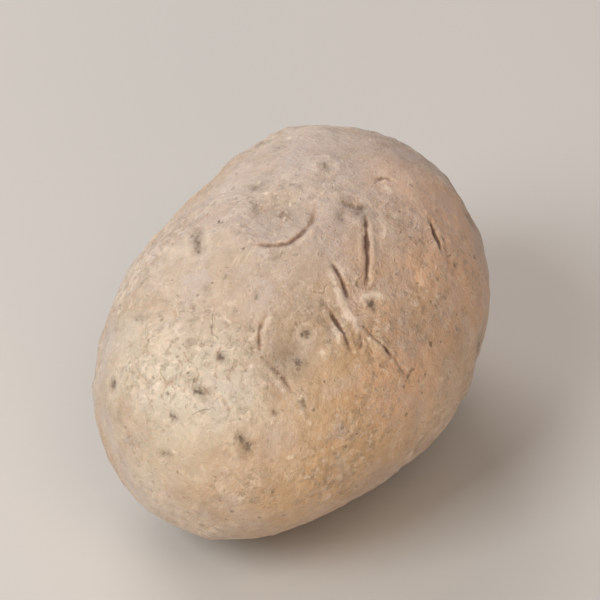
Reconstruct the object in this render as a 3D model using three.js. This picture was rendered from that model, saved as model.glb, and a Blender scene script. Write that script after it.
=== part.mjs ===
// One whole table potato with its skin on, lying on its flattest side.
// Millimetres, +Z up. The origin is on the surface that it rests on, under the middle of its box.
// The rose end, where the tuber grew last, points to +X and the stem end to -X.

import * as THREE from 'three';
import { mergeVertices } from 'three/addons/utils/BufferGeometryUtils.js';

// driving dimensions of the body, in millimetres and degrees
const LENGTH = 105;
const WIDTH = 70;
const HEIGHT = 64;
const TAPER = 0.014; // the rose end is fuller by this share, and the stem end slimmer
const SIDE_BOW = 1.6; // how far the two ends swing to +Y of the middle
const LEAN = 4; // the rose end rides this high
const REST_CUT = 0.9; // depth of the flat spot under the belly
const SPLITS = 21; // cuts along each edge of the icosahedron that the skin starts from

// Swells (+) and flats (-) that the soil pressed into the body as it grew: the way each one
// looks, how far it stands out or in, and its reach as an angle.
const SWELLS = [
  { towards: [0.76, 0.41, 0.5], height: 1.8, reach: 20 }, // shoulder behind the rose end
  { towards: [0.33, 0.82, 0.47], height: -1.3, reach: 29 }, // hollow flank beside it
  { towards: [0.93, 0.02, 0.37], height: -0.6, reach: 20 }, // blunt tip of the rose end
  { towards: [0.07, -0.96, -0.27], height: 1.1, reach: 26 }, // full belly of the front
  { towards: [-0.52, -0.74, -0.44], height: -1.1, reach: 26 }, // slack below the front
  { towards: [-0.93, -0.13, -0.34], height: 0.6, reach: 23 }, // heel of the stem end
  { towards: [-0.95, 0.28, -0.14], height: -1.9, reach: 20 }, // dent beside the stem end
  { towards: [-0.1, -0.84, 0.53], height: -1.0, reach: 23 }, // flat on the front shoulder
  { towards: [0.45, 0.6, -0.66], height: 0.9, reach: 26 }, // swell on the back, low down
  { towards: [-0.4, 0.86, 0.1], height: -0.9, reach: 23 }, // flat on the back
];

// Low waves all over the skin: the way each one runs, its length and where it starts.
const WAVE_HEIGHT = 0.16;
const WAVES = [
  { along: [0.85, 0.45, 0.25], length: 27, start: 4 },
  { along: [-0.35, 0.7, 0.6], length: 23, start: 9 },
  { along: [0.5, -0.45, 0.75], length: 31, start: 17 },
  { along: [0.2, 0.9, -0.4], length: 36, start: 2 },
];

// Eyes sit on a spiral that winds round the long axis from the rose end to the stem end, a
// little under three turns for eight eyes.
const EYE_COUNT = 11;
const EYE_TURN = -132; // degrees round the long axis from one eye to the next
const FIRST_EYE_ROLL = 74; // degrees from +Z towards +Y
const FIRST_EYE_AT = 0.946; // share of half the length
const EYE_STEP = 0.165; // the same share, from one eye to the next
const EYE_SEED = 1692; // settles how the eyes differ in size and in the way their brows turn
const EYE_SIZE_SPREAD = 0.2; // share that an eye is larger or smaller
const BROW_TURN_SPREAD = 55; // degrees that a brow turns away from the stem end

// One eye of middling size: a shallow basin with a bud in it, and on the stem side a brow,
// the scar of the scale leaf, with a crease under it.
const EYE_RADIUS = 5.6;
const EYE_DEPTH = 1.15;
const BUD_RADIUS = 1.7;
const BUD_HEIGHT = 0.55;
const BROW_RADIUS = 6.4;
const BROW_WIDTH = 1.5;
const BROW_HEIGHT = 0.6;
const BROW_ENDS = 84; // degrees to each side of its middle, where a brow has faded out
const BROW_FULL = 41; // degrees to each side of its middle, up to where it is at full height
const CREASE_RADIUS = 4.9;
const CREASE_WIDTH = 0.9;
const CREASE_DEPTH = 0.45;
const EYE_REACH = 12; // past this distance an eye leaves the skin alone

// the scar where the tuber broke from its stem
const SCAR_TOWARDS = [-0.9, 0.22, -0.38];
const SCAR_RADIUS = 3.2;
const SCAR_DEPTH = 1.5;
const SCAR_RIM_RADIUS = 5.8;
const SCAR_RIM_WIDTH = 1.6;
const SCAR_RIM_HEIGHT = 0.35;

// the skin's points crowd together around each eye and the scar, to hold their fine shape
const CROWD_REACH = 0.34; // radians on the sphere that the skin starts from
const CROWD_PULL = 0.42;

const SKIN_COLOUR = 0xcbae88;
const SKIN_ROUGHNESS = 0.68;

const HALF_SIZE = new THREE.Vector3(LENGTH / 2, WIDTH / 2, HEIGHT / 2);

const { degToRad, smoothstep } = THREE.MathUtils;

const bell = (distance, width) => Math.exp(-((distance / width) ** 2));

// A draw from 0 to 1 that is always the same for the same eye and purpose: the digits of a
// sine that is multiplied up look random.
function seededDraw(eyeNumber, purpose) {
  const eyeStride = 12.9898;
  const purposeStride = 78.233;
  const scramble = 43758.5453;
  const angle = eyeNumber * eyeStride + purpose * purposeStride + EYE_SEED;
  const value = Math.sin(angle) * scramble;
  return value - Math.floor(value);
}

const SIZE_DRAW = 1;
const BROW_DRAW = 2;

// the same draw, from -1 to 1
const eitherWay = (eyeNumber, purpose) => 2 * seededDraw(eyeNumber, purpose) - 1;

// the swells and flats at a direction, in millimetres
function swellAt(outwards) {
  let height = 0;
  for (const swell of SWELLS) {
    const angle = outwards.angleTo(new THREE.Vector3(...swell.towards));
    height += swell.height * bell(angle, degToRad(swell.reach));
  }
  return height;
}

// the low waves at a place on the body, in millimetres
function waveAt(place) {
  let height = 0;
  for (const wave of WAVES) {
    const travelled = place.dot(new THREE.Vector3(...wave.along)) + wave.start;
    height += WAVE_HEIGHT * Math.sin((2 * Math.PI * travelled) / wave.length);
  }
  return height;
}

// the smooth body, before its eyes: a stretched sphere, tapered, bowed and swollen
function bodyPoint(onSphere) {
  const place = onSphere.clone().multiply(HALF_SIZE);
  const outwards = place.clone().normalize();
  const share = place.x / HALF_SIZE.x;
  place.y *= 1 + TAPER * share;
  place.z *= 1 + TAPER * share;
  place.y += SIDE_BOW * (share * share - 1 / 3);
  const height = swellAt(outwards) + waveAt(place);
  return place.addScaledVector(outwards, height);
}

// where the eyes are, how large each is, and the side its brow is on
function makeEyes() {
  const eyes = [];
  for (let number = 0; number < EYE_COUNT; number++) {
    const share = FIRST_EYE_AT - number * EYE_STEP;
    const roll = degToRad(FIRST_EYE_ROLL + number * EYE_TURN);
    const ring = Math.sqrt(1 - share * share);
    const onSphere = new THREE.Vector3(share, ring * Math.sin(roll), ring * Math.cos(roll));
    const middle = bodyPoint(onSphere);
    const outwards = onSphere.clone().divide(HALF_SIZE).normalize();
    const browTurn = BROW_TURN_SPREAD * eitherWay(number, BROW_DRAW);
    const browSide = new THREE.Vector3(-1, 0, 0)
      .projectOnPlane(outwards)
      .normalize()
      .applyAxisAngle(outwards, degToRad(browTurn));
    const size = 1 + EYE_SIZE_SPREAD * eitherWay(number, SIZE_DRAW);
    eyes.push({ onSphere, middle, browSide, size });
  }
  return eyes;
}

// how far an eye lifts or sinks the skin at a place on the body
function eyeRelief(eye, place) {
  const away = place.clone().sub(eye.middle);
  const distance = away.length() / eye.size;
  if (distance > EYE_REACH) return 0;
  const facing = away.normalize().dot(eye.browSide);
  const browShare = smoothstep(
    facing,
    Math.cos(degToRad(BROW_ENDS)),
    Math.cos(degToRad(BROW_FULL)),
  );
  const basin = -EYE_DEPTH * Math.exp(-((distance / EYE_RADIUS) ** 3));
  const bud = BUD_HEIGHT * bell(distance, BUD_RADIUS);
  const brow = BROW_HEIGHT * bell(distance - BROW_RADIUS, BROW_WIDTH);
  const crease = -CREASE_DEPTH * bell(distance - CREASE_RADIUS, CREASE_WIDTH);
  return (basin + bud + browShare * (brow + crease)) * eye.size;
}

const eyes = makeEyes();
const scarOnSphere = new THREE.Vector3(...SCAR_TOWARDS).divide(HALF_SIZE).normalize();
const scarMiddle = bodyPoint(scarOnSphere);

// how far the stem scar sinks the skin, with a low rim round it
function scarRelief(place) {
  const distance = place.distanceTo(scarMiddle);
  const pit = -SCAR_DEPTH * bell(distance, SCAR_RADIUS);
  const rim = SCAR_RIM_HEIGHT * bell(distance - SCAR_RIM_RADIUS, SCAR_RIM_WIDTH);
  return pit + rim;
}

// the finished skin at a point of the starting sphere
function skinPoint(onSphere) {
  const place = bodyPoint(onSphere);
  const outwards = onSphere.clone().divide(HALF_SIZE).normalize();
  let relief = scarRelief(place);
  for (const eye of eyes) relief += eyeRelief(eye, place);
  return place.addScaledVector(outwards, relief);
}

// draws a point of the starting sphere towards each eye or scar that is close to it
function crowdTowards(onSphere, centres) {
  for (const centre of centres) {
    const share = onSphere.angleTo(centre) / CROWD_REACH;
    if (share < 1) onSphere.lerp(centre, CROWD_PULL * (1 - share * share) ** 2).normalize();
  }
}

function makeSkinGeometry() {
  const ball = new THREE.IcosahedronGeometry(1, SPLITS);
  ball.deleteAttribute('normal');
  ball.deleteAttribute('uv');
  const geometry = mergeVertices(ball);
  const position = geometry.getAttribute('position');
  const crowded = [...eyes.map((eye) => eye.onSphere), scarOnSphere];
  const leanAxis = new THREE.Vector3(0, 1, 0);
  const point = new THREE.Vector3();
  for (let i = 0; i < position.count; i++) {
    point.fromBufferAttribute(position, i).normalize();
    crowdTowards(point, crowded);
    const skin = skinPoint(point).applyAxisAngle(leanAxis, -degToRad(LEAN));
    position.setXYZ(i, skin.x, skin.y, skin.z);
  }
  standOnFlatSpot(geometry);
  geometry.computeVertexNormals();
  return geometry;
}

// presses the lowest skin flat and sets the origin under the middle of the box
function standOnFlatSpot(geometry) {
  geometry.computeBoundingBox();
  const { min, max } = geometry.boundingBox;
  const floor = min.z + REST_CUT;
  const middleX = (min.x + max.x) / 2;
  const middleY = (min.y + max.y) / 2;
  const position = geometry.getAttribute('position');
  for (let i = 0; i < position.count; i++) {
    position.setX(i, position.getX(i) - middleX);
    position.setY(i, position.getY(i) - middleY);
    position.setZ(i, Math.max(position.getZ(i) - floor, 0));
  }
}

const skin = new THREE.MeshStandardMaterial({
  color: SKIN_COLOUR,
  roughness: SKIN_ROUGHNESS,
  metalness: 0,
});

const potato = new THREE.Mesh(makeSkinGeometry(), skin);
potato.name = 'potato';

const group = new THREE.Group();
group.add(potato);

export default group;
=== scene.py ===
import math

import bpy
import numpy as np
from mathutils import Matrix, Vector, kdtree, noise


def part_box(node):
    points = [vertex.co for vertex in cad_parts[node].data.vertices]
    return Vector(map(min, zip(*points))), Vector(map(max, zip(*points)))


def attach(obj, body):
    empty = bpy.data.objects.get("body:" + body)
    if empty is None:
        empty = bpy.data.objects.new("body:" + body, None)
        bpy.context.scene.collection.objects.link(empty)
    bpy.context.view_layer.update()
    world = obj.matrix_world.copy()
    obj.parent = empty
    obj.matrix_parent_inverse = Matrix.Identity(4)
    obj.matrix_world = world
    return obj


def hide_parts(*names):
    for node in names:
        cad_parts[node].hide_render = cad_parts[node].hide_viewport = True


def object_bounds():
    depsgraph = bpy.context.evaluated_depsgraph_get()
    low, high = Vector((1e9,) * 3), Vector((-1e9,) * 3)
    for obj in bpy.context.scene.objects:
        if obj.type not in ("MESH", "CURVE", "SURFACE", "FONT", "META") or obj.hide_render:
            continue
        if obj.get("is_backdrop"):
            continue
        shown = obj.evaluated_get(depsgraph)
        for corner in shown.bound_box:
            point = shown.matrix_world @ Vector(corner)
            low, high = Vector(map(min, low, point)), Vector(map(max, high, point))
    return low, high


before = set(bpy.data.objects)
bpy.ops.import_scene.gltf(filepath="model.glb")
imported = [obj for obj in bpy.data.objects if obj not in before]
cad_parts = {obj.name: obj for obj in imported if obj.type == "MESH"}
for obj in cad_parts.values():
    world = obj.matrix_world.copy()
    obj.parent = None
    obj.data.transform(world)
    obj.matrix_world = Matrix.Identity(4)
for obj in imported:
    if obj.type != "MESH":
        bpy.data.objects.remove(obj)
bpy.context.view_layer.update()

# The tuber: one body of firm flesh under a thin skin, grown whole round its long axis.
# A cube is split and rounded into an even ball, stretched to the tuber's box and drawn
# onto a smooth copy of the CAD solid.
MM = 0.001
MERGE_GAP = 0.01
FORM_LEVELS = 2
BALL_CUTS = 12
EVENING_ROUNDS = 3
EVENING_PASSES = 12
SKIN_LEVELS = 3
low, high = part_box("potato")
tuber_middle = (Vector(low) + Vector(high)) / 2
tuber_size = Vector(high) - Vector(low)

bpy.ops.object.select_all(action="DESELECT")
form = bpy.data.objects.new("tuber_form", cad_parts["potato"].data.copy())
bpy.context.scene.collection.objects.link(form)
bpy.context.view_layer.objects.active = form
form.select_set(True)
bpy.ops.object.mode_set(mode="EDIT")
bpy.ops.mesh.select_all(action="SELECT")
bpy.ops.mesh.remove_doubles(threshold=MERGE_GAP * MM)
bpy.ops.object.mode_set(mode="OBJECT")
rounding = form.modifiers.new("Rounding", "SUBSURF")
rounding.levels = rounding.render_levels = FORM_LEVELS
form.select_set(False)

bpy.ops.mesh.primitive_cube_add(size=2)
tuber = bpy.context.object
tuber.name = "potato_tuber"
bpy.ops.object.mode_set(mode="EDIT")
bpy.ops.mesh.select_all(action="SELECT")
bpy.ops.mesh.subdivide(number_cuts=BALL_CUTS)
bpy.ops.transform.tosphere(value=1.0)
for evening in range(EVENING_ROUNDS):
    bpy.ops.mesh.vertices_smooth(factor=0.5, repeat=EVENING_PASSES)
    bpy.ops.transform.tosphere(value=1.0)
bpy.ops.transform.resize(value=tuber_size / tuber.dimensions.x)
bpy.ops.transform.translate(value=tuber_middle)
bpy.ops.object.mode_set(mode="OBJECT")


def apply_modifier(piece, kind, **settings):
    """Adds one modifier to the piece and makes its shape final."""
    step = piece.modifiers.new(kind.title(), kind)
    for name, value in settings.items():
        setattr(step, name, value)
    bpy.context.view_layer.objects.active = piece
    bpy.ops.object.modifier_apply(modifier=step.name)


def draw_onto_form(smoothing):
    """Lays the skin onto the smooth form and evens out what is left of its facets."""
    apply_modifier(tuber, "SHRINKWRAP", target=form, wrap_method="NEAREST_SURFACEPOINT")
    apply_modifier(tuber, "SMOOTH", factor=0.5, iterations=smoothing)


apply_modifier(tuber, "SUBSURF", levels=SKIN_LEVELS, render_levels=SKIN_LEVELS)
draw_onto_form(smoothing=3)

# The eyes: shallow basins, each with a bud and, on the stem side, the brow that a scale leaf
# left. They wind round the long axis as in the CAD solid, which holds the basins already, so
# these are its values, in millimetres. Their fine relief comes on the finished mesh.
BODY_CENTRE = Vector((-0.28, 1.23, 30.93))
HALF_AXES = Vector((52.5, 35.0, 32.0))
LEAN = math.radians(4)
EYE_COUNT = 11
EYE_TURN = math.radians(-132)
FIRST_EYE_ROLL = math.radians(74)
FIRST_EYE_AT = 0.946
EYE_STEP = 0.165
EYE_SEED = 1692
EYE_SIZE_SPREAD = 0.2
BROW_TURN_SPREAD = math.radians(55)
BROW_HALF_ANGLE = math.radians(46)
BROW_HALF_SPREAD = math.radians(22)
CLEAR_EYES = (6, 9)      # their brows are drawn as creases, among the cracks
FAINT_BROW = 0.25
EYE_STRIDE = 12.9898
PURPOSE_STRIDE = 78.233
SCRAMBLE = 43758.5453
SIZE_DRAW = 1
BROW_DRAW = 2
SPAN_DRAW = 8


def eye_draw(number, purpose):
    """The CAD solid's own draw for an eye, from -1 to 1."""
    value = math.sin(number * EYE_STRIDE + purpose * PURPOSE_STRIDE + EYE_SEED) * SCRAMBLE
    return 2 * (value - math.floor(value)) - 1


def leaned(x, y, z):
    """A direction of the level body, turned as the tuber leans."""
    return Vector((
        x * math.cos(LEAN) - z * math.sin(LEAN),
        y,
        x * math.sin(LEAN) + z * math.cos(LEAN),
    ))


def skin_towards(direction):
    """The skin's place and normal, seen from the body's centre in a direction."""
    place, normal = tuber.ray_cast(BODY_CENTRE * MM, direction.normalized())[1:3]
    return place / MM, normal


eyes = []
for number in range(EYE_COUNT):
    share = FIRST_EYE_AT - number * EYE_STEP
    roll = FIRST_EYE_ROLL + number * EYE_TURN
    ring = math.sqrt(1 - share * share)
    level = HALF_AXES * Vector((share, ring * math.sin(roll), ring * math.cos(roll)))
    middle, outwards = skin_towards(leaned(*level))
    stem_side = leaned(-1, 0, 0)
    stem_side = (stem_side - outwards * stem_side.dot(outwards)).normalized()
    turn = BROW_TURN_SPREAD * eye_draw(number, BROW_DRAW)
    brow_side = math.cos(turn) * stem_side + math.sin(turn) * outwards.cross(stem_side)
    eyes.append({
        "middle": np.array(middle),
        "outwards": np.array(outwards),
        "brow_side": np.array(brow_side),
        "half_angle": BROW_HALF_ANGLE + BROW_HALF_SPREAD * eye_draw(number, SPAN_DRAW),
        "brow": FAINT_BROW if number in CLEAR_EYES else 1.0,
        "size": 1 + EYE_SIZE_SPREAD * eye_draw(number, SIZE_DRAW),
    })

# The growth cracks and creases, which corked over as the skin stretched: the points of each
# by x and y in millimetres, as seen from above, then its width, depth and darkness. A scuff
# is a pale streak where the outer skin rubbed off: its points, width and strength.
CRACKS = [
    ([(5.2, -11.0), (-0.5, -14.2), (-5.2, -16.9), (-8.8, -18.6)], 0.46, 0.42, 1.0),
    ([(-10.0, -11.6), (-11.6, -14.2), (-13.5, -17.4)], 0.44, 0.4, 1.0),
    ([(-18.2, -14.8), (-19.8, -18.6), (-21.4, -22.2)], 0.4, 0.3, 0.85),
    ([(-20.1, -22.9), (-18.5, -23.2), (-17.8, -21.9)], 0.36, 0.22, 0.6),
    ([(-16.0, -22.2), (-14.8, -26.5), (-13.1, -30.3)], 0.38, 0.3, 0.95),
    ([(17.2, -19.5), (14.1, -21.9), (12.1, -24.2)], 0.5, 0.4, 1.0),
    ([(1.0, -2.2), (-3.3, -3.6), (-7.8, -3.9), (-11.7, -2.7), (-13.4, 0.4), (-14.2, 4.6)],
     0.6, 0.36, 0.7),
    ([(17.0, -7.5), (19.4, -8.2), (19.6, -9.8)], 0.5, 0.28, 0.6),
    ([(-26.2, -6.4), (-30.3, -6.7), (-33.1, -8.8)], 0.42, 0.26, 0.6),
    ([(-33.1, -10.0), (-33.3, -13.7), (-33.9, -17.0)], 0.4, 0.28, 0.6),
    ([(-38.9, 15.6), (-41.4, 13.3), (-43.9, 8.9), (-41.9, 6.1)], 0.45, 0.24, 0.35),
    ([(-43.7, -4.4), (-42.1, -5.3), (-42.9, -7.6), (-43.8, -9.0)], 0.36, 0.2, 0.35),
    ([(-9.6, -14.4), (-11.6, -17.4), (-12.6, -20.0)], 0.22, 0.14, 0.4),
    ([(2.6, -11.4), (-1.6, -13.8), (-5.0, -15.6)], 0.22, 0.14, 0.4),
]
SCUFFS = [
    ([(-12.3, -12.1), (-14.6, -15.2), (-16.4, -18.4), (-17.6, -21.8)], 0.85, 1.0),
    ([(9.3, -12.8), (5.4, -15.0), (0.9, -17.2)], 0.45, 0.5),
    ([(-13.2, -19.0), (-11.2, -19.0), (-8.5, -20.8), (-7.1, -22.8)], 0.6, 0.85),
    ([(-14.8, -22.5), (-13.2, -24.5), (-10.2, -25.4)], 0.6, 0.75),
    ([(17.2, -9.4), (14.8, -11.6)], 0.9, 0.7),
    ([(-34.3, -11.0), (-34.9, -13.5), (-35.3, -15.9)], 0.6, 0.6),
    ([(-41.8, 11.0), (-44.6, 5.9)], 0.9, 0.4),
    ([(-35.4, -19.9), (-34.2, -17.4), (-32.6, -19.2)], 0.6, 0.6),
    ([(-41.4, -4.0), (-43.4, -6.2), (-41.8, -8.6)], 0.5, 0.5),
]
DROP_HEIGHT = 200
TRAIL_STEP = 0.25
LEAST_STEPS = 4
TRAIL_ROUNDING = 12


def drop(x, y):
    """The skin's place under x and y, as seen from above, in millimetres."""
    start = Vector((x, y, DROP_HEIGHT)) * MM
    place = tuber.ray_cast(start, Vector((0, 0, -1)))[1]
    return np.array(place) / MM


def trail(corners):
    """Close places on the skin along a smooth line through its corners."""
    knots = np.array([drop(x, y) for x, y in corners])
    run = np.concatenate(([0], np.cumsum(np.linalg.norm(np.diff(knots, axis=0), axis=1))))
    steps = np.linspace(0, run[-1], max(int(run[-1] / TRAIL_STEP), LEAST_STEPS))
    line = np.column_stack([np.interp(steps, run, knots[:, axis]) for axis in range(3)])
    for rounding_pass in range(TRAIL_ROUNDING):
        line[1:-1] = (line[:-2] + 2 * line[1:-1] + line[2:]) / 4
    return line


crack_trails = [trail(crack[0]) for crack in CRACKS]
scuff_trails = [trail(scuff[0]) for scuff in SCUFFS]

# the skin's faces are split once more where the eyes and the cracks need them fine
FINE_REACH_EYE = 7.0
FINE_REACH_CRACK = 1.6
TRAIL_STRIDE = 4


def rows(items, name):
    """One vector of each vertex or face of the mesh, a row each."""
    values = np.empty(len(items) * 3)
    items.foreach_get(name, values)
    return values.reshape(-1, 3)


def gaps(points, place):
    """How far each point is from a place."""
    return np.linalg.norm(points - place, axis=1)


centres = rows(tuber.data.polygons, "center") / MM
fine = np.zeros(len(centres), dtype=bool)
for eye in eyes:
    fine |= gaps(centres, eye["middle"]) < FINE_REACH_EYE * eye["size"]
for line in crack_trails:
    for place in line[::TRAIL_STRIDE]:
        fine |= gaps(centres, place) < FINE_REACH_CRACK
bpy.context.view_layer.objects.active = tuber
bpy.ops.object.mode_set(mode="EDIT")
bpy.ops.mesh.select_all(action="DESELECT")
bpy.ops.object.mode_set(mode="OBJECT")
tuber.data.polygons.foreach_set("select", fine)
bpy.ops.object.mode_set(mode="EDIT")
bpy.ops.mesh.select_mode(type="FACE")
bpy.ops.mesh.subdivide(number_cuts=1)
bpy.ops.mesh.select_all(action="SELECT")
bpy.ops.mesh.normals_make_consistent(inside=False)
bpy.ops.object.mode_set(mode="OBJECT")
draw_onto_form(smoothing=4)
bpy.data.objects.remove(form)
bpy.ops.object.select_all(action="DESELECT")
tuber.select_set(True)
bpy.ops.object.shade_smooth()

# The skin's relief is worked out at every point of the skin, in millimetres along its normal.
# What it also tints is kept as a value from 0 to 1 for the finish.
places = rows(tuber.data.vertices, "co") / MM
normals = rows(tuber.data.vertices, "normal")
point_count = len(places)
relief = np.zeros(point_count)
TINT_NAMES = ("eye", "crack", "lip", "pore", "stain", "halo", "stem", "dent", "pressed",
              "scuff", "crumb")
tints = {name: np.zeros(point_count) for name in TINT_NAMES}
ALL = slice(None)
SEED_SHIFT = (7.31, 3.17, 5.71)


def lumps(size, seed, where=ALL):
    """A smooth random value from -1 to 1 at each point, with lumps of that size in mm."""
    start = Vector([seed * shift for shift in SEED_SHIFT])
    return np.array([noise.noise(Vector(place) / size + start) for place in places[where]])


def bell(distance, width):
    """1 at no distance, and falling smoothly to 0 past the width."""
    return np.exp(-((distance / width) ** 2))


def ramp(value, start, end):
    """0 before start, 1 after end and smooth between."""
    share = np.clip((value - start) / (end - start), 0, 1)
    return share * share * (3 - 2 * share)


def deepen(name, values, where=ALL):
    """Keeps the stronger of a tint and its new values."""
    tints[name][where] = np.maximum(tints[name][where], values)


# soft dents and swellings of the skin, from finger size down to a pore's size
DENT_SIZES = (15, 6.5, 3.2, 1.5)
DENT_DEPTHS = (0.26, 0.27, 0.15, 0.09)
dents = [lumps(size, seed=seed) for seed, size in enumerate(DENT_SIZES, start=1)]
for dent, depth in zip(dents, DENT_DEPTHS):
    relief += depth * dent
broad, middling, small = dents[:3]
deepen("dent", ramp(-(0.4 * broad + middling + 0.4 * small), start=0.0, end=0.8))

# Squiggling wrinkles where the skin was pressed as it grew, deeper in some patches. Each
# patch is its middle, its reach and its strength. A wrinkle is where a random value is 0.
PRESSED_PLACES = [((-3, 3, 62), 13, 0.75), ((-38, 3, 50), 15, 0.9), ((-14, -20, 54), 12, 0.9)]
PRESSED_ELSEWHERE = 0.75
EDGE_WANDER = 0.3
WRINKLE_DEPTH = 0.8
WRINKLE_ROUNDING = 0.0025
CRINKLE_DEPTH = 0.2
pressed = PRESSED_ELSEWHERE * ramp(lumps(16, seed=6) + EDGE_WANDER * middling, start=-0.3, end=0.4)
for middle, reach, strength in PRESSED_PLACES:
    gap = gaps(places, middle) / reach + EDGE_WANDER * middling
    pressed = np.maximum(pressed, strength * (1 - ramp(gap, start=0.5, end=1.2)))
winding = lumps(5.2, seed=5) + 0.25 * small
relief += WRINKLE_DEPTH * pressed * (np.sqrt(winding**2 + WRINKLE_ROUNDING) - 0.15)
relief += CRINKLE_DEPTH * pressed * (0.4 - np.abs(lumps(2.7, seed=7)))
deepen("pressed", pressed)
deepen("crack", 0.45 * pressed * bell(winding, width=0.05))
deepen("lip", 0.35 * pressed * bell(winding - 0.14, width=0.06))

# one eye's fine relief: the brow's groove with a ridge outside it, and three scales on the bud
EYE_REACH = 13
BROW_LINE_RADIUS = 5.6
GROOVE_DEPTH = 0.24
GROOVE_WIDTH = 0.42
RIDGE_HEIGHT = 0.14
RIDGE_WIDTH = 0.8
RIDGE_OUT = 0.9
SCALE_COUNT = 3
SCALE_HEIGHT = 0.16
SCALE_WIDTH = 0.6
SCALE_OUT = 0.8
BROW_FULL = 0.6          # shares of a brow's half angle, up to which it is whole, and ends
BROW_ENDS = 1.2
BUD_RADIUS = 2.1
BUD_GROOVE_DEPTH = 0.12
BUD_GROOVE_WIDTH = 0.5


def cut_eye(eye, seed):
    """Adds one eye's fine relief and tint."""
    size, brow_side = eye["size"], eye["brow_side"]
    distance = gaps(places, eye["middle"])
    near = distance < EYE_REACH * size
    away = places[near] - eye["middle"]
    distance = distance[near] / size
    turned = np.arccos(np.clip(away @ brow_side / np.maximum(distance * size, 0.01), -1, 1))
    half_angle = eye["half_angle"]
    brow = 1 - ramp(turned, start=BROW_FULL * half_angle, end=BROW_ENDS * half_angle)
    brow = brow * eye["brow"] * (0.75 + 0.5 * lumps(3.5, seed=seed + 60, where=near))
    line = distance + 0.8 * lumps(4.0, seed=seed, where=near)
    line = line + 0.25 * lumps(1.2, seed=seed + 30, where=near)
    past_brow = line - BROW_LINE_RADIUS
    fine = RIDGE_HEIGHT * brow * bell(past_brow - RIDGE_OUT, RIDGE_WIDTH)
    fine -= GROOVE_DEPTH * brow * bell(past_brow, GROOVE_WIDTH)
    across = np.cross(eye["outwards"], brow_side)
    for scale in range(SCALE_COUNT):
        turn = seed + 2 * math.pi * scale / SCALE_COUNT
        out = SCALE_OUT * size * (math.cos(turn) * brow_side + math.sin(turn) * across)
        fine += SCALE_HEIGHT * bell(gaps(places[near], eye["middle"] + out), SCALE_WIDTH)
    fine -= BUD_GROOVE_DEPTH * bell(line - BUD_RADIUS, BUD_GROOVE_WIDTH)
    relief[near] += fine
    deepen("eye", bell(distance, width=4.6), near)
    deepen("crack", 0.6 * brow * bell(past_brow, GROOVE_WIDTH), near)
    deepen("pore", 0.5 * bell(line - 0.2, width=0.8), near)
    deepen("stain", 0.45 * bell(line, width=1.8), near)
    deepen("lip", 0.5 * brow * bell(past_brow - 1.1, width=0.7), near)


for number, eye in enumerate(eyes):
    cut_eye(eye, seed=20 + number)

# the scar of the stem, a small corky pit with the stump of a fibre in it and a rim round it
SCAR_TOWARDS = (-0.9, 0.22, -0.38)
SCAR_REACH = 12
STUMP_HEIGHT = 0.45
STUMP_WIDTH = 1.0
SCAR_GROOVE_DEPTH = 0.3
SCAR_GROOVE_RADIUS = 2.6
SCAR_RIM_HEIGHT = 0.22
SCAR_RIM_RADIUS = 3.8
scar_middle = np.array(skin_towards(leaned(*SCAR_TOWARDS))[0])
scar_distance = gaps(places, scar_middle)
near = scar_distance < SCAR_REACH
scar_distance = scar_distance[near] + 0.6 * lumps(2.6, seed=40, where=near)
scar_distance = scar_distance + 0.4 * lumps(1.1, seed=41, where=near)
relief[near] -= SCAR_GROOVE_DEPTH * bell(scar_distance - SCAR_GROOVE_RADIUS, width=0.6)
relief[near] += STUMP_HEIGHT * bell(scar_distance, STUMP_WIDTH)
relief[near] += SCAR_RIM_HEIGHT * bell(scar_distance - SCAR_RIM_RADIUS, width=0.8)
deepen("stem", 0.95 * bell(scar_distance, width=1.3), near)
deepen("stem", 0.6 * bell(scar_distance - 2.7, width=0.6), near)
deepen("stain", 0.75 * bell(scar_distance, width=3.4), near)
deepen("lip", 0.8 * bell(scar_distance - 3.9, width=0.8), near)

# the cracks and scuffs are laid along their trails, and swerve and fade as they go
LINE_REACH = 6
CRACK_LIP_RISE = 0.3
SCUFF_RISE = 0.16


def beside(line):
    """The points near a line, how far each is from it, and where along it, from 0 to 1."""
    best = np.full(point_count, np.inf)
    along = np.zeros(point_count)
    for index, place in enumerate(line):
        distance = gaps(places, place)
        closer = distance < best
        best[closer] = distance[closer]
        along[closer] = index / (len(line) - 1)
    near = best < LINE_REACH
    return near, best[near], along[near]


def tapered(along):
    """1 along most of a line, falling to 0 at its ends."""
    return np.clip(np.sin(np.pi * (0.04 + 0.92 * along)), 0, 1) ** 0.5


for number, (line, crack) in enumerate(zip(crack_trails, CRACKS)):
    width, depth, darkness = crack[1:]
    near, distance, along = beside(line)
    swerve = 0.35 * lumps(2.6, seed=50 + number, where=near)
    swerve += 0.16 * lumps(0.9, seed=130 + number, where=near)
    distance = np.abs(distance + swerve)
    fade = tapered(along) * np.clip(1 + 0.4 * lumps(2.1, seed=90 + number, where=near), 0.65, 1)
    relief[near] -= fade * depth * bell(distance, width)
    relief[near] += fade * CRACK_LIP_RISE * depth * bell(distance - 2.6 * width, width)
    deepen("crack", fade * darkness * bell(distance, 1.1 * width), near)
    deepen("lip", fade * 0.5 * bell(distance - 2.4 * width, 1.3 * width), near)
for number, (line, scuff) in enumerate(zip(scuff_trails, SCUFFS)):
    width, strength = scuff[1:]
    near, distance, along = beside(line)
    distance = distance + 0.5 * lumps(2.0, seed=170 + number, where=near)
    relief[near] += SCUFF_RISE * tapered(along) * bell(distance, width)
    deepen("scuff", strength * tapered(along) * bell(distance, 1.1 * width), near)

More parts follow.
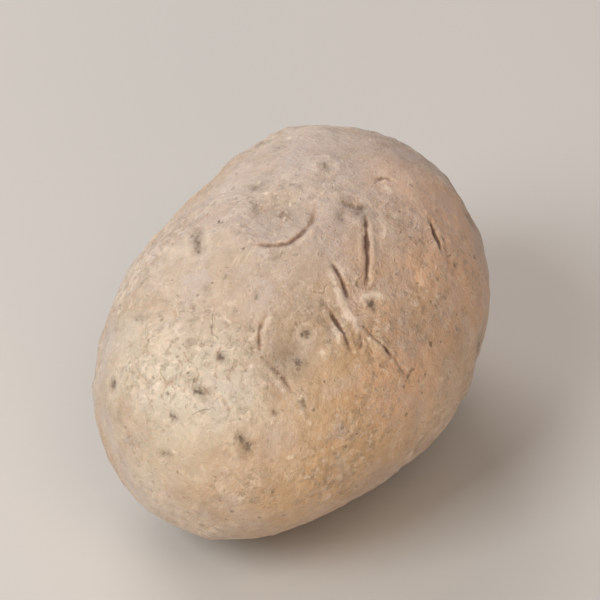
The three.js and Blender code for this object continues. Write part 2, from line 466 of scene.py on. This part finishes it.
# The marks: soil stuck in small scars, dark in the middle and ragged. Each runs between two
# places given by x and y, then come its radius and darkness. It is a cluster of small pits.
MARKS = [
    ((13.3, 2.2), (13.3, 2.2), 1.3, 0.8),
    ((5.3, -7.2), (5.0, -10.6), 1.9, 0.9),
    ((1.8, -7.4), (0.2, -8.8), 1.7, 0.4),
    ((-10.9, -21.0), (-10.9, -21.0), 1.2, 1.0),
    ((-12.4, 16.9), (-17.4, 13.3), 1.2, 0.98),
    ((-36.8, -2.2), (-37.2, -3.0), 0.9, 1.0),
    ((-42.0, 1.2), (-43.1, -2.0), 1.1, 0.92),
    ((-42.0, 18.2), (-42.4, 17.8), 1.1, 1.0),
    ((-44.4, -11.4), (-45.0, -12.4), 1.2, 0.8),
    ((-50.6, 2.8), (-50.6, 0.6), 0.7, 0.69),
    ((-47.1, 1.7), (-47.1, 1.7), 0.8, 0.69),
    ((-28.9, -13.5), (-29.9, -14.5), 2.6, 0.26),
    ((-24.9, -14.1), (-24.9, -14.1), 0.9, 0.98),
    ((-34.1, -18.7), (-34.1, -18.7), 1.0, 0.7),
    ((-31.5, 19.5), (-32.3, 16.5), 0.9, 0.57),
    ((-24.2, -2.8), (-24.2, -2.8), 0.7, 0.69),
    ((-22.4, 4.9), (-22.4, 4.9), 0.7, 0.57),
    ((-25.3, 7.3), (-25.3, 7.3), 0.7, 0.57),
    ((-29.9, 7.4), (-29.9, 7.4), 0.7, 0.69),
    ((-30.5, -5.0), (-30.5, -5.0), 0.7, 0.57),
    ((18.3, 14.7), (16.3, 13.9), 1.5, 0.46),
    ((2.3, 11.5), (1.4, 10.2), 1.1, 0.69),
    ((-38.5, -15.0), (-38.5, -15.0), 0.7, 0.57),
    ((33.2, -21.6), (32.0, -21.0), 1.4, 0.57),
    ((1.6, 11.8), (3.2, 10.8), 1.7, 0.5),
    ((-3.2, 8.4), (-4.8, 7.4), 1.6, 0.5),
    ((7.2, 10.9), (8.6, 9.9), 1.5, 0.4),
    ((-14.2, -2.2), (-15.2, -2.2), 1.0, 0.6),
]
MARK_SEED = 11
PITS_PER_MARK = 8
PITS_PER_MM = 3

# a mark's depth, and the reach of each thing in it, as shares of its radius
MARK_DEPTH = 0.12
MARK_REACH = 3
STAIN_WIDTH = 1.25
RIM_RADIUS = 1.9
RIM_WIDTH = 0.6
PIT_SPREAD = 0.36
PIT_SHARES = (0.24, 0.5)

# a pit in millimetres: its least radius, its depth, which grows with the radius, and how far
# from its middle the skin is worked on
LEAST_PIT = 0.12
PIT_DEPTH = 0.03
PIT_DEPTH_PER_MM = 0.08
PIT_REACH = 2.4
PIT_MARGIN = 0.3

skin_tree = kdtree.KDTree(point_count)
for index, place in enumerate(places):
    skin_tree.insert(place, index)
skin_tree.balance()


def point_bell(distance, width):
    """The same as bell, for one distance."""
    return math.exp(-((distance / width) ** 2))


def set_pit(middle, radius, darkness):
    """Sinks one small pit into the skin and darkens it."""
    for place, index, distance in skin_tree.find_range(middle, PIT_REACH * radius + PIT_MARGIN):
        pit = point_bell(distance, radius)
        relief[index] -= (PIT_DEPTH + PIT_DEPTH_PER_MM * radius) * pit
        tints["pore"][index] = max(tints["pore"][index], darkness * pit)


def set_mark(start, end, radius, darkness):
    """Strews small pits along one mark, on a soft stain with a pale rim."""
    middle, reach = (start + end) / 2, np.linalg.norm(end - start) / 2
    for place, index, gap in skin_tree.find_range(middle, reach + MARK_REACH * radius):
        share = np.clip((places[index] - start) @ (end - start) / max(4 * reach**2, 1e-6), 0, 1)
        distance = np.linalg.norm(places[index] - start - share * (end - start))
        relief[index] -= MARK_DEPTH * radius * point_bell(distance, radius)
        stain = darkness * point_bell(distance, STAIN_WIDTH * radius)
        tints["stain"][index] = max(tints["stain"][index], stain)
        rim = darkness * point_bell(distance - RIM_RADIUS * radius, RIM_WIDTH * radius)
        tints["halo"][index] = max(tints["halo"][index], rim)
    for pit in range(PITS_PER_MARK + int(PITS_PER_MM * reach)):
        centre = start + rng.random() * (end - start) + rng.normal(0, PIT_SPREAD * radius, 3)
        pit_radius = rng.uniform(*PIT_SHARES) * radius + LEAST_PIT
        set_pit(centre, pit_radius, darkness * rng.uniform(0.5, 1.0))


rng = np.random.default_rng(MARK_SEED)
for start, end, radius, darkness in MARKS:
    set_mark(drop(*start), drop(*end), radius, darkness)

# more marks like them on the side that the photograph hides
HIDDEN_MARK_COUNT = 34
HIDDEN_SIDE = (0.56, 0.27, -0.78)
HIDDEN_FROM = -12
HIDDEN_LAY = 0.9
HIDDEN_RADII = (0.6, 1.3)
HIDDEN_DARKNESS = (0.4, 0.95)
strewn = 0
while strewn < HIDDEN_MARK_COUNT:
    middle = places[int(rng.integers(point_count))]
    lay = rng.normal(0, HIDDEN_LAY, 3)
    radius, darkness = rng.uniform(*HIDDEN_RADII), rng.uniform(*HIDDEN_DARKNESS)
    if middle @ HIDDEN_SIDE > HIDDEN_FROM:
        set_mark(middle - lay, middle + lay, radius, darkness)
        strewn += 1

# small nicks and pale crumbs of cork between them, in short chains, most of them where the
# skin was pressed: the step from one to the next, their radii and how many make a chain
NICK_COUNT = 420
NICK_STEP = 0.5
NICK_RADII = (0.25, 0.5)
NICK_CHAIN = (1, 6)
CRUMB_COUNT = 420
CRUMB_STEP = 0.45
CRUMB_RADII = (0.3, 0.6)
CRUMB_CHAIN = (1, 5)
CRUMB_HEIGHT = 0.09
CRUMB_REACH = 2.2


def strewn_here(index):
    """A draw of whether the skin's point gets a nick or a crumb."""
    return tints["pressed"][index] > rng.uniform(-0.3, 0.8)


for nick in range(NICK_COUNT):
    index = int(rng.integers(point_count))
    step = rng.normal(0, NICK_STEP, 3)
    radius, darkness = rng.uniform(*NICK_RADII), rng.uniform(0.15, 0.8) ** 1.5
    if strewn_here(index):
        for link in range(int(rng.integers(*NICK_CHAIN))):
            set_pit(places[index] + link * step, radius * rng.uniform(0.6, 1.2), darkness)
for crumb in range(CRUMB_COUNT):
    index = int(rng.integers(point_count))
    step = rng.normal(0, CRUMB_STEP, 3)
    radius, paleness = rng.uniform(*CRUMB_RADII), rng.uniform(0.3, 0.9)
    if strewn_here(index):
        for link in range(int(rng.integers(*CRUMB_CHAIN))):
            middle = places[index] + link * step
            for place, spot, distance in skin_tree.find_range(middle, CRUMB_REACH * radius):
                rise = point_bell(distance, radius)
                relief[spot] += CRUMB_HEIGHT * rise
                tints["crumb"][spot] = max(tints["crumb"][spot], paleness * rise)

# broad patches of another tone: the place in the middle, the reach and the strength of each
PATCHES = {
    "blush": [((14, -20, 54), 26, 1.0), ((-5, -18, 56), 15, 0.7), ((-14, -31, 42), 13, 0.8),
              ((5, 30, 25), 22, 0.5)],
    # the gold is partly a golden skin tone and partly painted warm bounce light low on the tuber
    "gold_and_warm_bounce": [((-24, -29, 38), 20, 1.0), ((-38, -23, 28), 14, 0.9), ((-49, -6, 34), 11, 0.2),
             ((10, 32, 36), 26, 0.9), ((44, 8, 24), 24, 0.9), ((-38, 20, 18), 18, 0.6),
             ((0, 0, 0), 34, 0.6)],
    # the tan is partly a tan skin tone and partly painted shade on the top
    "tan_and_top_shade": [((-24, -9, 56), 17, 0.9), ((-22, 6, 58), 14, 1.0), ((3, -9, 61), 15, 1.0),
            ((-8, 2, 62), 15, 0.9), ((-11, -9, 59), 12, 1.0), ((-30, 20, 12), 16, 0.6)],
    # the pale patches are partly a pale skin tone and partly painted cool daylight on the left
    "pale": [((-43, 2, 45), 16, 0.85), ((-37, 18, 42), 12, 0.5), ((20, 34, 14), 12, 0.4)],
}
PATCH_EDGE_LUMPS = 11
PATCH_EDGE_WANDER = 0.35
FIRST_PATCH_SEED = 201


def broad_patches(patches, seed):
    """How much of a tone each point gets from patches with uneven edges."""
    most = np.zeros(point_count)
    uneven = lumps(PATCH_EDGE_LUMPS, seed=seed)
    for middle, reach, strength in patches:
        distance = gaps(places, middle) / reach + PATCH_EDGE_WANDER * uneven
        most = np.maximum(most, strength * (1 - ramp(distance, start=0.35, end=1.15)))
    return most


for seed, (name, patches) in enumerate(PATCHES.items(), start=FIRST_PATCH_SEED):
    tints[name] = broad_patches(patches, seed)

# the relief goes onto the skin, and the flat spot stays on the ground
places += normals * relief[:, None]
places[:, 2] = np.maximum(places[:, 2], 0)
tuber.data.vertices.foreach_set("co", (places * MM).ravel())
tuber.data.update()
for name, values in tints.items():
    layer = tuber.data.attributes.new(name, "FLOAT", "POINT")
    layer.data.foreach_set("value", values.astype(np.float32))

# The skin's finish: dry and thin, tan over cream and warmer low on the front, that warmth partly
# painted bounce light, with a fine leathery mosaic, freckles, flakes and a lilac dust of dried
# soil, which on top is partly painted cool skylight. It is laid on in coats, the ground colour
# first. The sizes of its grains and cells are in millimetres.
CREAM = (0.60, 0.505, 0.40, 1)
TAN = (0.42, 0.31, 0.21, 1)
GOLD_AND_WARM_BOUNCE = (0.64, 0.39, 0.165, 1)
RUSSET = (0.53, 0.315, 0.17, 1)
KHAKI = (0.34, 0.30, 0.17, 1)
BLUSH = (0.74, 0.46, 0.285, 1)
PALE_AND_COOL_DAYLIGHT = (0.59, 0.54, 0.435, 1)
LILAC_DUST_AND_SKYLIGHT = (0.52, 0.45, 0.44, 1)
SOIL = (0.20, 0.13, 0.075, 1)
GREY_SOIL = (0.28, 0.215, 0.15, 1)
PORE_BROWN = (0.12, 0.08, 0.05, 1)
CRACK_BROWN = (0.11, 0.055, 0.03, 1)
CORK = (0.70, 0.56, 0.42, 1)
SCUFF = (0.80, 0.66, 0.52, 1)
STEM_BROWN = (0.12, 0.075, 0.04, 1)

skin = bpy.data.materials.new("potato_skin")
skin.use_nodes = True
nodes, links = skin.node_tree.nodes, skin.node_tree.links
shader = nodes["Principled BSDF"]
on_tuber = nodes.new("ShaderNodeTexCoord").outputs["Object"]
axes = nodes.new("ShaderNodeSeparateXYZ")
links.new(on_tuber, axes.inputs["Vector"])


def grain(size, detail=3.0, roughness=0.5, stretch=(1, 1, 1), shift=(0, 0, 0), warp=0.0):
    """A random cloud with patches of that size in millimetres."""
    laid = nodes.new("ShaderNodeMapping")
    laid.inputs["Scale"].default_value = stretch
    laid.inputs["Location"].default_value = shift
    links.new(on_tuber, laid.inputs["Vector"])
    cloud = nodes.new("ShaderNodeTexNoise")
    cloud.inputs["Scale"].default_value = 1 / (size * MM)
    cloud.inputs["Detail"].default_value = detail
    cloud.inputs["Roughness"].default_value = roughness
    cloud.inputs["Distortion"].default_value = warp
    links.new(laid.outputs["Vector"], cloud.inputs["Vector"])
    return cloud.outputs["Fac"]


def between(value, start, end, low=0.0, high=1.0):
    """low where the value is under start, high past end, and smooth between."""
    step = nodes.new("ShaderNodeMapRange")
    step.interpolation_type = "SMOOTHSTEP"
    step.inputs["From Min"].default_value = start
    step.inputs["From Max"].default_value = end
    step.inputs["To Min"].default_value = low
    step.inputs["To Max"].default_value = high
    links.new(value, step.inputs["Value"])
    return step.outputs["Result"]


def tint(name):
    """One of the values from 0 to 1 that the relief left on the skin."""
    read = nodes.new("ShaderNodeAttribute")
    read.attribute_name = name
    return read.outputs["Fac"]


def maths(operation, first, second):
    """A node that works out one value from two, each a number or a node's output."""
    step = nodes.new("ShaderNodeMath")
    step.operation = operation
    for socket, value in zip(step.inputs, (first, second)):
        if isinstance(value, (int, float)):
            socket.default_value = value
        else:
            links.new(value, socket)
    return step.outputs["Value"]


def times(first, second):
    return maths("MULTIPLY", first, second)


def plus(first, second):
    return maths("ADD", first, second)


def minus(first, second):
    return maths("SUBTRACT", first, second)


def coat(under, paint, mask, share=1.0):
    """Lays a paint over the colour so far, by a share of a mask from 0 to 1."""
    mix = nodes.new("ShaderNodeMix")
    mix.data_type = "RGBA"
    sockets = {socket.name: socket for socket in mix.inputs if socket.enabled}
    factor = mask if share == 1.0 else times(mask, share)
    for name, value in (("Factor", factor), ("A", under), ("B", paint)):
        if isinstance(value, tuple):
            sockets[name].default_value = value
        else:
            links.new(value, sockets[name])
    return [socket for socket in mix.outputs if socket.enabled][0]


def wander(size, detail, roughness, amount):
    """A random cloud about 0, with that amount from its lowest to its highest."""
    return times(plus(grain(size, detail=detail, roughness=roughness), -0.5), amount)


def ragged(mask, size, amount, start, end):
    """A mask with torn edges."""
    torn = plus(mask, wander(size, detail=4, roughness=0.6, amount=amount))
    return between(torn, start=start, end=end)


# the ground colour: cream and tan clouds, reddish towards the front, partly the skin's own tone
# and partly painted warm bounce light, and khaki in places
colour = coat(CREAM, TAN, between(grain(14, detail=5, roughness=0.55), start=0.36, end=0.64))
front_russet_and_warm_light = plus(axes.outputs["Y"], wander(20, detail=3, roughness=0.5, amount=40 * MM))
front_russet_and_warm_light = between(front_russet_and_warm_light, start=4 * MM, end=-24 * MM)
colour = coat(colour, RUSSET, front_russet_and_warm_light, share=0.58)
khaki = between(grain(22, detail=3, shift=(0.31, 0.12, 0.4)), start=0.54, end=0.7)
colour = coat(colour, KHAKI, khaki, share=0.3)

# mottling from a pea's size down to a pinhead's
cork_cloud = grain(5.5, detail=4, roughness=0.55, warp=0.4)
colour = coat(colour, CORK, between(cork_cloud, start=0.44, end=0.66, high=0.42))
grey_cloud = grain(4, detail=4, roughness=0.55, shift=(0.2, 0.7, 0.3), warp=0.5)
colour = coat(colour, GREY_SOIL, between(grey_cloud, start=0.47, end=0.7, high=0.34))
tan_cloud = grain(2.0, detail=5, roughness=0.62, shift=(0.4, 0, 0))
colour = coat(colour, TAN, between(tan_cloud, start=0.48, end=0.64, high=0.46))
russet_cloud = grain(0.9, detail=4, roughness=0.65)
colour = coat(colour, RUSSET, between(russet_cloud, start=0.5, end=0.66, high=0.42))

# broad patches of a golden, a pinkish, a tan and a pale tone
# partly painted warm bounce light: the gold patches lie low on the tuber and round its bottom
colour = coat(colour, GOLD_AND_WARM_BOUNCE, tint("gold_and_warm_bounce"), share=0.5)
colour = coat(colour, BLUSH, tint("blush"), share=0.85)
# partly painted shade: the tan patches darken the top of the tuber
colour = coat(colour, TAN, tint("tan_and_top_shade"), share=0.68)
# partly painted cool daylight: the pale patches lie on the left, lit side
colour = coat(colour, PALE_AND_COOL_DAYLIGHT, tint("pale"), share=0.8)

# the leathery mosaic of the skin's outer cells, on a pattern that is shaken out of line
CELL_SIZE = 1.25
SHAKE_SIZE = 1.9
SHAKE = 1.6
shake = nodes.new("ShaderNodeVectorMath")
shake.operation = "MULTIPLY_ADD"
shake.inputs[1].default_value = (SHAKE * MM, SHAKE * MM, SHAKE * MM)
shaking = nodes.new("ShaderNodeTexNoise")
shaking.inputs["Scale"].default_value = 1 / (SHAKE_SIZE * MM)
shaking.inputs["Detail"].default_value = 4
links.new(on_tuber, shaking.inputs["Vector"])
links.new(shaking.outputs["Color"], shake.inputs[0])
links.new(on_tuber, shake.inputs[2])


def cells(size, feature="F1"):
    """A pattern of cells of that size in millimetres."""
    pattern = nodes.new("ShaderNodeTexVoronoi")
    pattern.feature = feature
    pattern.inputs["Scale"].default_value = 1 / (size * MM)
    links.new(shake.outputs["Vector"], pattern.inputs["Vector"])
    return pattern


def cell_draw(pattern, channel):
    """A random value from 0 to 1 for each cell of a pattern."""
    split = nodes.new("ShaderNodeSeparateColor")
    links.new(pattern.outputs["Color"], split.inputs["Color"])
    return split.outputs[channel]


seam_gap = cells(CELL_SIZE, "DISTANCE_TO_EDGE").outputs["Distance"]
seams = between(seam_gap, start=0.0, end=0.13, low=1.0, high=0.0)
seam_cloud = grain(7, detail=3, shift=(0, 0.2, 0))
seam_share = between(seam_cloud, start=0.4, end=0.65, low=0.08, high=0.5)
colour = coat(colour, RUSSET, times(seams, seam_share), share=0.6)
colour = coat(colour, CORK, cell_draw(cells(CELL_SIZE), "Green"), share=0.16)

# the pores that the skin breathes through: small corky dots, most of them pale
pore_cells = cells(2.9)
pore_gap = pore_cells.outputs["Distance"]
pore_dots = between(pore_gap, start=0.19, end=0.11)
pore_rims = times(between(pore_gap, start=0.3, end=0.2), minus(1.0, pore_dots))
colour = coat(colour, CORK, pore_rims, share=0.22)
pore_darkness = between(cell_draw(pore_cells, "Red"), start=0.45, end=1.0, low=0.12, high=0.75)
colour = coat(colour, SOIL, times(pore_dots, pore_darkness))

# squiggling creases where the skin was pressed and stretched, in broken runs
wave = plus(grain(7.5, detail=2, roughness=0.5, shift=(0.3, 0.8, 0.1), warp=0.5), -0.5)
creases = between(maths("ABSOLUTE", wave, 0), start=0.0, end=0.013, low=1.0, high=0.0)
creases = times(creases, between(grain(5, detail=3, shift=(0.1, 0.8, 0.3)), start=0.48, end=0.6))
creases = times(creases, between(tint("pressed"), start=0.2, end=0.9))
colour = coat(colour, SOIL, creases, share=0.42)

# the same places are blotched, grey where soil stayed and pale where it rubbed off
grey_blotches = grain(1.8, detail=4, roughness=0.6, shift=(0.6, 0.2, 0.9), warp=0.6)
grey_blotches = between(grey_blotches, start=0.5, end=0.62)
pale_blotches = grain(1.6, detail=4, roughness=0.6, shift=(0.9, 0.4, 0.1), warp=0.6)
pale_blotches = between(pale_blotches, start=0.54, end=0.66)
blotched = between(tint("pressed"), start=0.1, end=0.8, low=0.12, high=0.5)
colour = coat(colour, GREY_SOIL, times(grey_blotches, blotched))
colour = coat(colour, SCUFF, times(pale_blotches, blotched))

# freckles, and finer specks between them
freckle_cells = cells(2.4)
freckles = between(freckle_cells.outputs["Distance"], start=0.17, end=0.09)
freckles = times(freckles, between(cell_draw(freckle_cells, "Red"), start=0.5, end=0.9, high=0.6))
colour = coat(colour, SOIL, freckles)
specks = between(cells(0.9).outputs["Distance"], start=0.24, end=0.1)
speckled = grain(2.2, detail=4, roughness=0.6, shift=(0.7, 0.1, 0.2))
speckled = between(speckled, start=0.46, end=0.6, high=0.4)
colour = coat(colour, SOIL, times(specks, speckled))

# thin pale flakes with torn edges, and brown scurf
flakes = grain(6, detail=8, roughness=0.66, shift=(0.1, 0.6, 0.2), warp=0.2)
flakes = between(flakes, start=0.57, end=0.6)
colour = coat(colour, CORK, flakes, share=0.34)
scurf = between(grain(4.5, detail=8, roughness=0.75, shift=(0.5, 0.3, 0.8)), start=0.58, end=0.66)
colour = coat(colour, SOIL, scurf, share=0.4)

# dust of dried soil in clouds and in the dents, and a lilac coat thickest on top that is partly
# dust and partly painted cool skylight, with pale scuffs and grit on it
# painted cool skylight: the lilac share grows with height towards the top
top = plus(axes.outputs["Z"], wander(12, detail=5, roughness=0.62, amount=30 * MM))
top_dust_and_skylight = times(between(top, start=50 * MM, end=68 * MM), 0.6)
dust_clouds = grain(9, detail=5, roughness=0.62, shift=(0.2, 0.5, 0.1))
dust_clouds = between(dust_clouds, start=0.5, end=0.72, high=0.5)
dust_and_skylight = maths("MAXIMUM", top_dust_and_skylight, dust_clouds)
dust_and_skylight = maths("MAXIMUM", dust_and_skylight, times(tint("dent"), 0.4))
dust_and_skylight = times(dust_and_skylight, between(grain(0.55, detail=4, roughness=0.7), start=0.36, end=0.6, low=0.45))
colour = coat(colour, LILAC_DUST_AND_SKYLIGHT, dust_and_skylight)
streaks = grain(2.6, detail=4, roughness=0.6, stretch=(0.4, 1.3, 1.0), shift=(0.1, 0.1, 0.3),
                warp=0.8)
colour = coat(colour, CORK, between(streaks, start=0.6, end=0.68), share=0.4)
gritty = between(grain(6, detail=4), start=0.45, end=0.6, low=0.1, high=0.6)
grit = times(between(grain(0.3, detail=2, roughness=0.5), start=0.66, end=0.74), gritty)
colour = coat(colour, SOIL, grit)

# eyes, pores, cracks and the stem scar, where the relief has them
pores = times(ragged(tint("pore"), size=0.6, amount=0.9, start=0.1, end=0.8), 0.9)
stain_grain = between(grain(0.7, detail=4, roughness=0.7), start=0.34, end=0.62, low=0.25)
stains = times(tint("stain"), stain_grain)
splits = ragged(tint("crack"), size=0.7, amount=0.5, start=0.15, end=0.75)
split_edge = ragged(tint("crack"), size=1.2, amount=0.8, start=0.06, end=0.6)
stem = ragged(tint("stem"), size=0.8, amount=1.2, start=0.1, end=1.0)
rims = ragged(tint("halo"), size=1.2, amount=1.4, start=0.4, end=0.9)
crumbs = ragged(tint("crumb"), size=0.5, amount=0.8, start=0.15, end=0.6)
scuffs = ragged(tint("scuff"), size=1.2, amount=1.0, start=0.2, end=0.7)
lips = ragged(tint("lip"), size=0.8, amount=0.8, start=0.3, end=0.7)
colour = coat(colour, GREY_SOIL, tint("eye"), share=0.34)
colour = coat(colour, CORK, rims, share=0.3)
colour = coat(colour, SCUFF, crumbs, share=0.6)
colour = coat(colour, SCUFF, scuffs, share=0.8)
colour = coat(colour, CORK, lips, share=0.55)
colour = coat(colour, GREY_SOIL, stains, share=0.85)
colour = coat(colour, PORE_BROWN, pores)
colour = coat(colour, RUSSET, split_edge, share=0.4)
colour = coat(colour, CRACK_BROWN, splits, share=0.88)
colour = coat(colour, STEM_BROWN, stem)
links.new(colour, shader.inputs["Base Color"])

# faintly silky where the skin is bare, and dull where dust lies on it
bare_skin = between(grain(4, detail=4), start=0.35, end=0.7, low=0.44, high=0.6)
links.new(plus(bare_skin, times(dust_and_skylight, 0.3)), shader.inputs["Roughness"])
shader.inputs["Specular IOR Level"].default_value = 0.4
shader.inputs["Subsurface Weight"].default_value = 0.05
shader.inputs["Subsurface Radius"].default_value = (0.003, 0.0015, 0.0008)
shader.inputs["Subsurface Scale"].default_value = 0.4
shader.inputs["Sheen Weight"].default_value = 0.16
shader.inputs["Sheen Roughness"].default_value = 0.45
shader.inputs["Sheen Tint"].default_value = (0.84, 0.80, 0.95, 1)

# the finest relief: how far each thing stands out of the wrinkles, or sinks, in millimetres
FINEST_RELIEF = [
    (grain(0.7, detail=4, roughness=0.6), 0.22),
    (grain(0.25, detail=2, roughness=0.5), 0.07),
    (seams, -0.022),
    (flakes, 0.03),
    (grit, 0.05),
    (freckles, -0.05),
    (creases, -0.12),
    (pore_rims, 0.05),
    (pore_dots, -0.05),
    (pores, -0.14),
    (splits, -0.22),
]
height = times(grain(2.2, detail=4, roughness=0.55), 0.4)
for part, rise in FINEST_RELIEF:
    add_or_take = plus if rise > 0 else minus
    height = add_or_take(height, times(part, abs(rise)))
bump = nodes.new("ShaderNodeBump")
bump.inputs["Strength"].default_value = 0.8
bump.inputs["Distance"].default_value = MM
links.new(height, bump.inputs["Height"])
links.new(bump.outputs["Normal"], shader.inputs["Normal"])

tuber.data.materials.clear()
tuber.data.materials.append(skin)
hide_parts("potato")
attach(tuber, "root")

# The stage: a plain pale floor.
FLOOR_SIZE = 6
FLOOR_COLOUR = (0.56, 0.54, 0.51, 1)
bpy.ops.object.select_all(action="DESELECT")
bpy.ops.mesh.primitive_plane_add(size=FLOOR_SIZE)
floor = bpy.context.object
floor.name = "floor"
pale = bpy.data.materials.new("pale_floor")
pale.use_nodes = True
pale.node_tree.nodes["Principled BSDF"].inputs["Base Color"].default_value = FLOOR_COLOUR
pale.node_tree.nodes["Principled BSDF"].inputs["Roughness"].default_value = 0.85
floor.data.materials.append(pale)
floor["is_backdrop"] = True

# Soft studio light: a broad lamp on the left, one behind the tuber, two warm ones in front,
# high and low, and an even surround.
TUBER_CENTRE = Vector((0, 0, 0.032))


def out_towards(azimuth, elevation):
    """The direction from the tuber to a lamp or to the camera, by two angles in degrees."""
    turn, rise = math.radians(azimuth), math.radians(elevation)
    return Vector((
        math.sin(turn) * math.cos(rise),
        -math.cos(turn) * math.cos(rise),
        math.sin(rise),
    ))


def soft_lamp(name, azimuth, elevation, distance, size, power, colour):
    """A square lamp that faces the tuber."""
    out = out_towards(azimuth, elevation)
    bpy.ops.object.light_add(type="AREA", location=TUBER_CENTRE + out * distance)
    lamp = bpy.context.object
    lamp.name = name
    lamp.data.size = size
    lamp.data.energy = power
    lamp.data.color = colour
    lamp.rotation_euler = out.to_track_quat("Z", "Y").to_euler()
    lamp.visible_camera = False


soft_lamp("key_lamp", -114, 40, distance=1.1, size=0.5, power=8.1, colour=(0.98, 1.0, 1.0))
soft_lamp("sky_lamp", 150, 42, distance=1.2, size=0.8, power=7.8, colour=(1.0, 0.94, 0.92))
soft_lamp("fill_lamp", -40, 58, distance=1.3, size=0.7, power=4.0, colour=(1.0, 0.76, 0.57))
soft_lamp("low_lamp", -50, 10, distance=1.3, size=0.7, power=5.0, colour=(1.0, 0.79, 0.57))
surround = bpy.data.worlds.new("surround")
bpy.context.scene.world = surround
surround.use_nodes = True
surround.node_tree.nodes["Background"].inputs["Color"].default_value = (0.88, 0.92, 1.0, 1)
surround.node_tree.nodes["Background"].inputs["Strength"].default_value = 0.2
bpy.context.scene.view_settings.view_transform = "Standard"

# The camera stands where the photograph was taken from, turned to the tuber and zoomed in
# until its picture is a little wider than the tuber.
VIEW_AZIMUTH = -64.1     # degrees, as the next two
VIEW_ELEVATION = 38.7
VIEW_ROLL = 2.95
VIEW_DISTANCE = 0.78
VIEW_AIM = Vector((0.0035, 0.0014, 0.036))
VIEW_WIDTH = 0.119       # of the picture, where the tuber is
SENSOR_WIDTH = 36
back = out_towards(VIEW_AZIMUTH, VIEW_ELEVATION)
bpy.ops.object.camera_add(location=VIEW_AIM + back * VIEW_DISTANCE)
camera = bpy.context.object
camera.rotation_euler = back.to_track_quat("Z", "Y").to_euler()
camera.rotation_euler.rotate_axis("Z", math.radians(VIEW_ROLL))
camera.data.sensor_width = SENSOR_WIDTH
camera.data.lens = SENSOR_WIDTH * VIEW_DISTANCE / VIEW_WIDTH
bpy.context.scene.camera = camera

low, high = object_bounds()
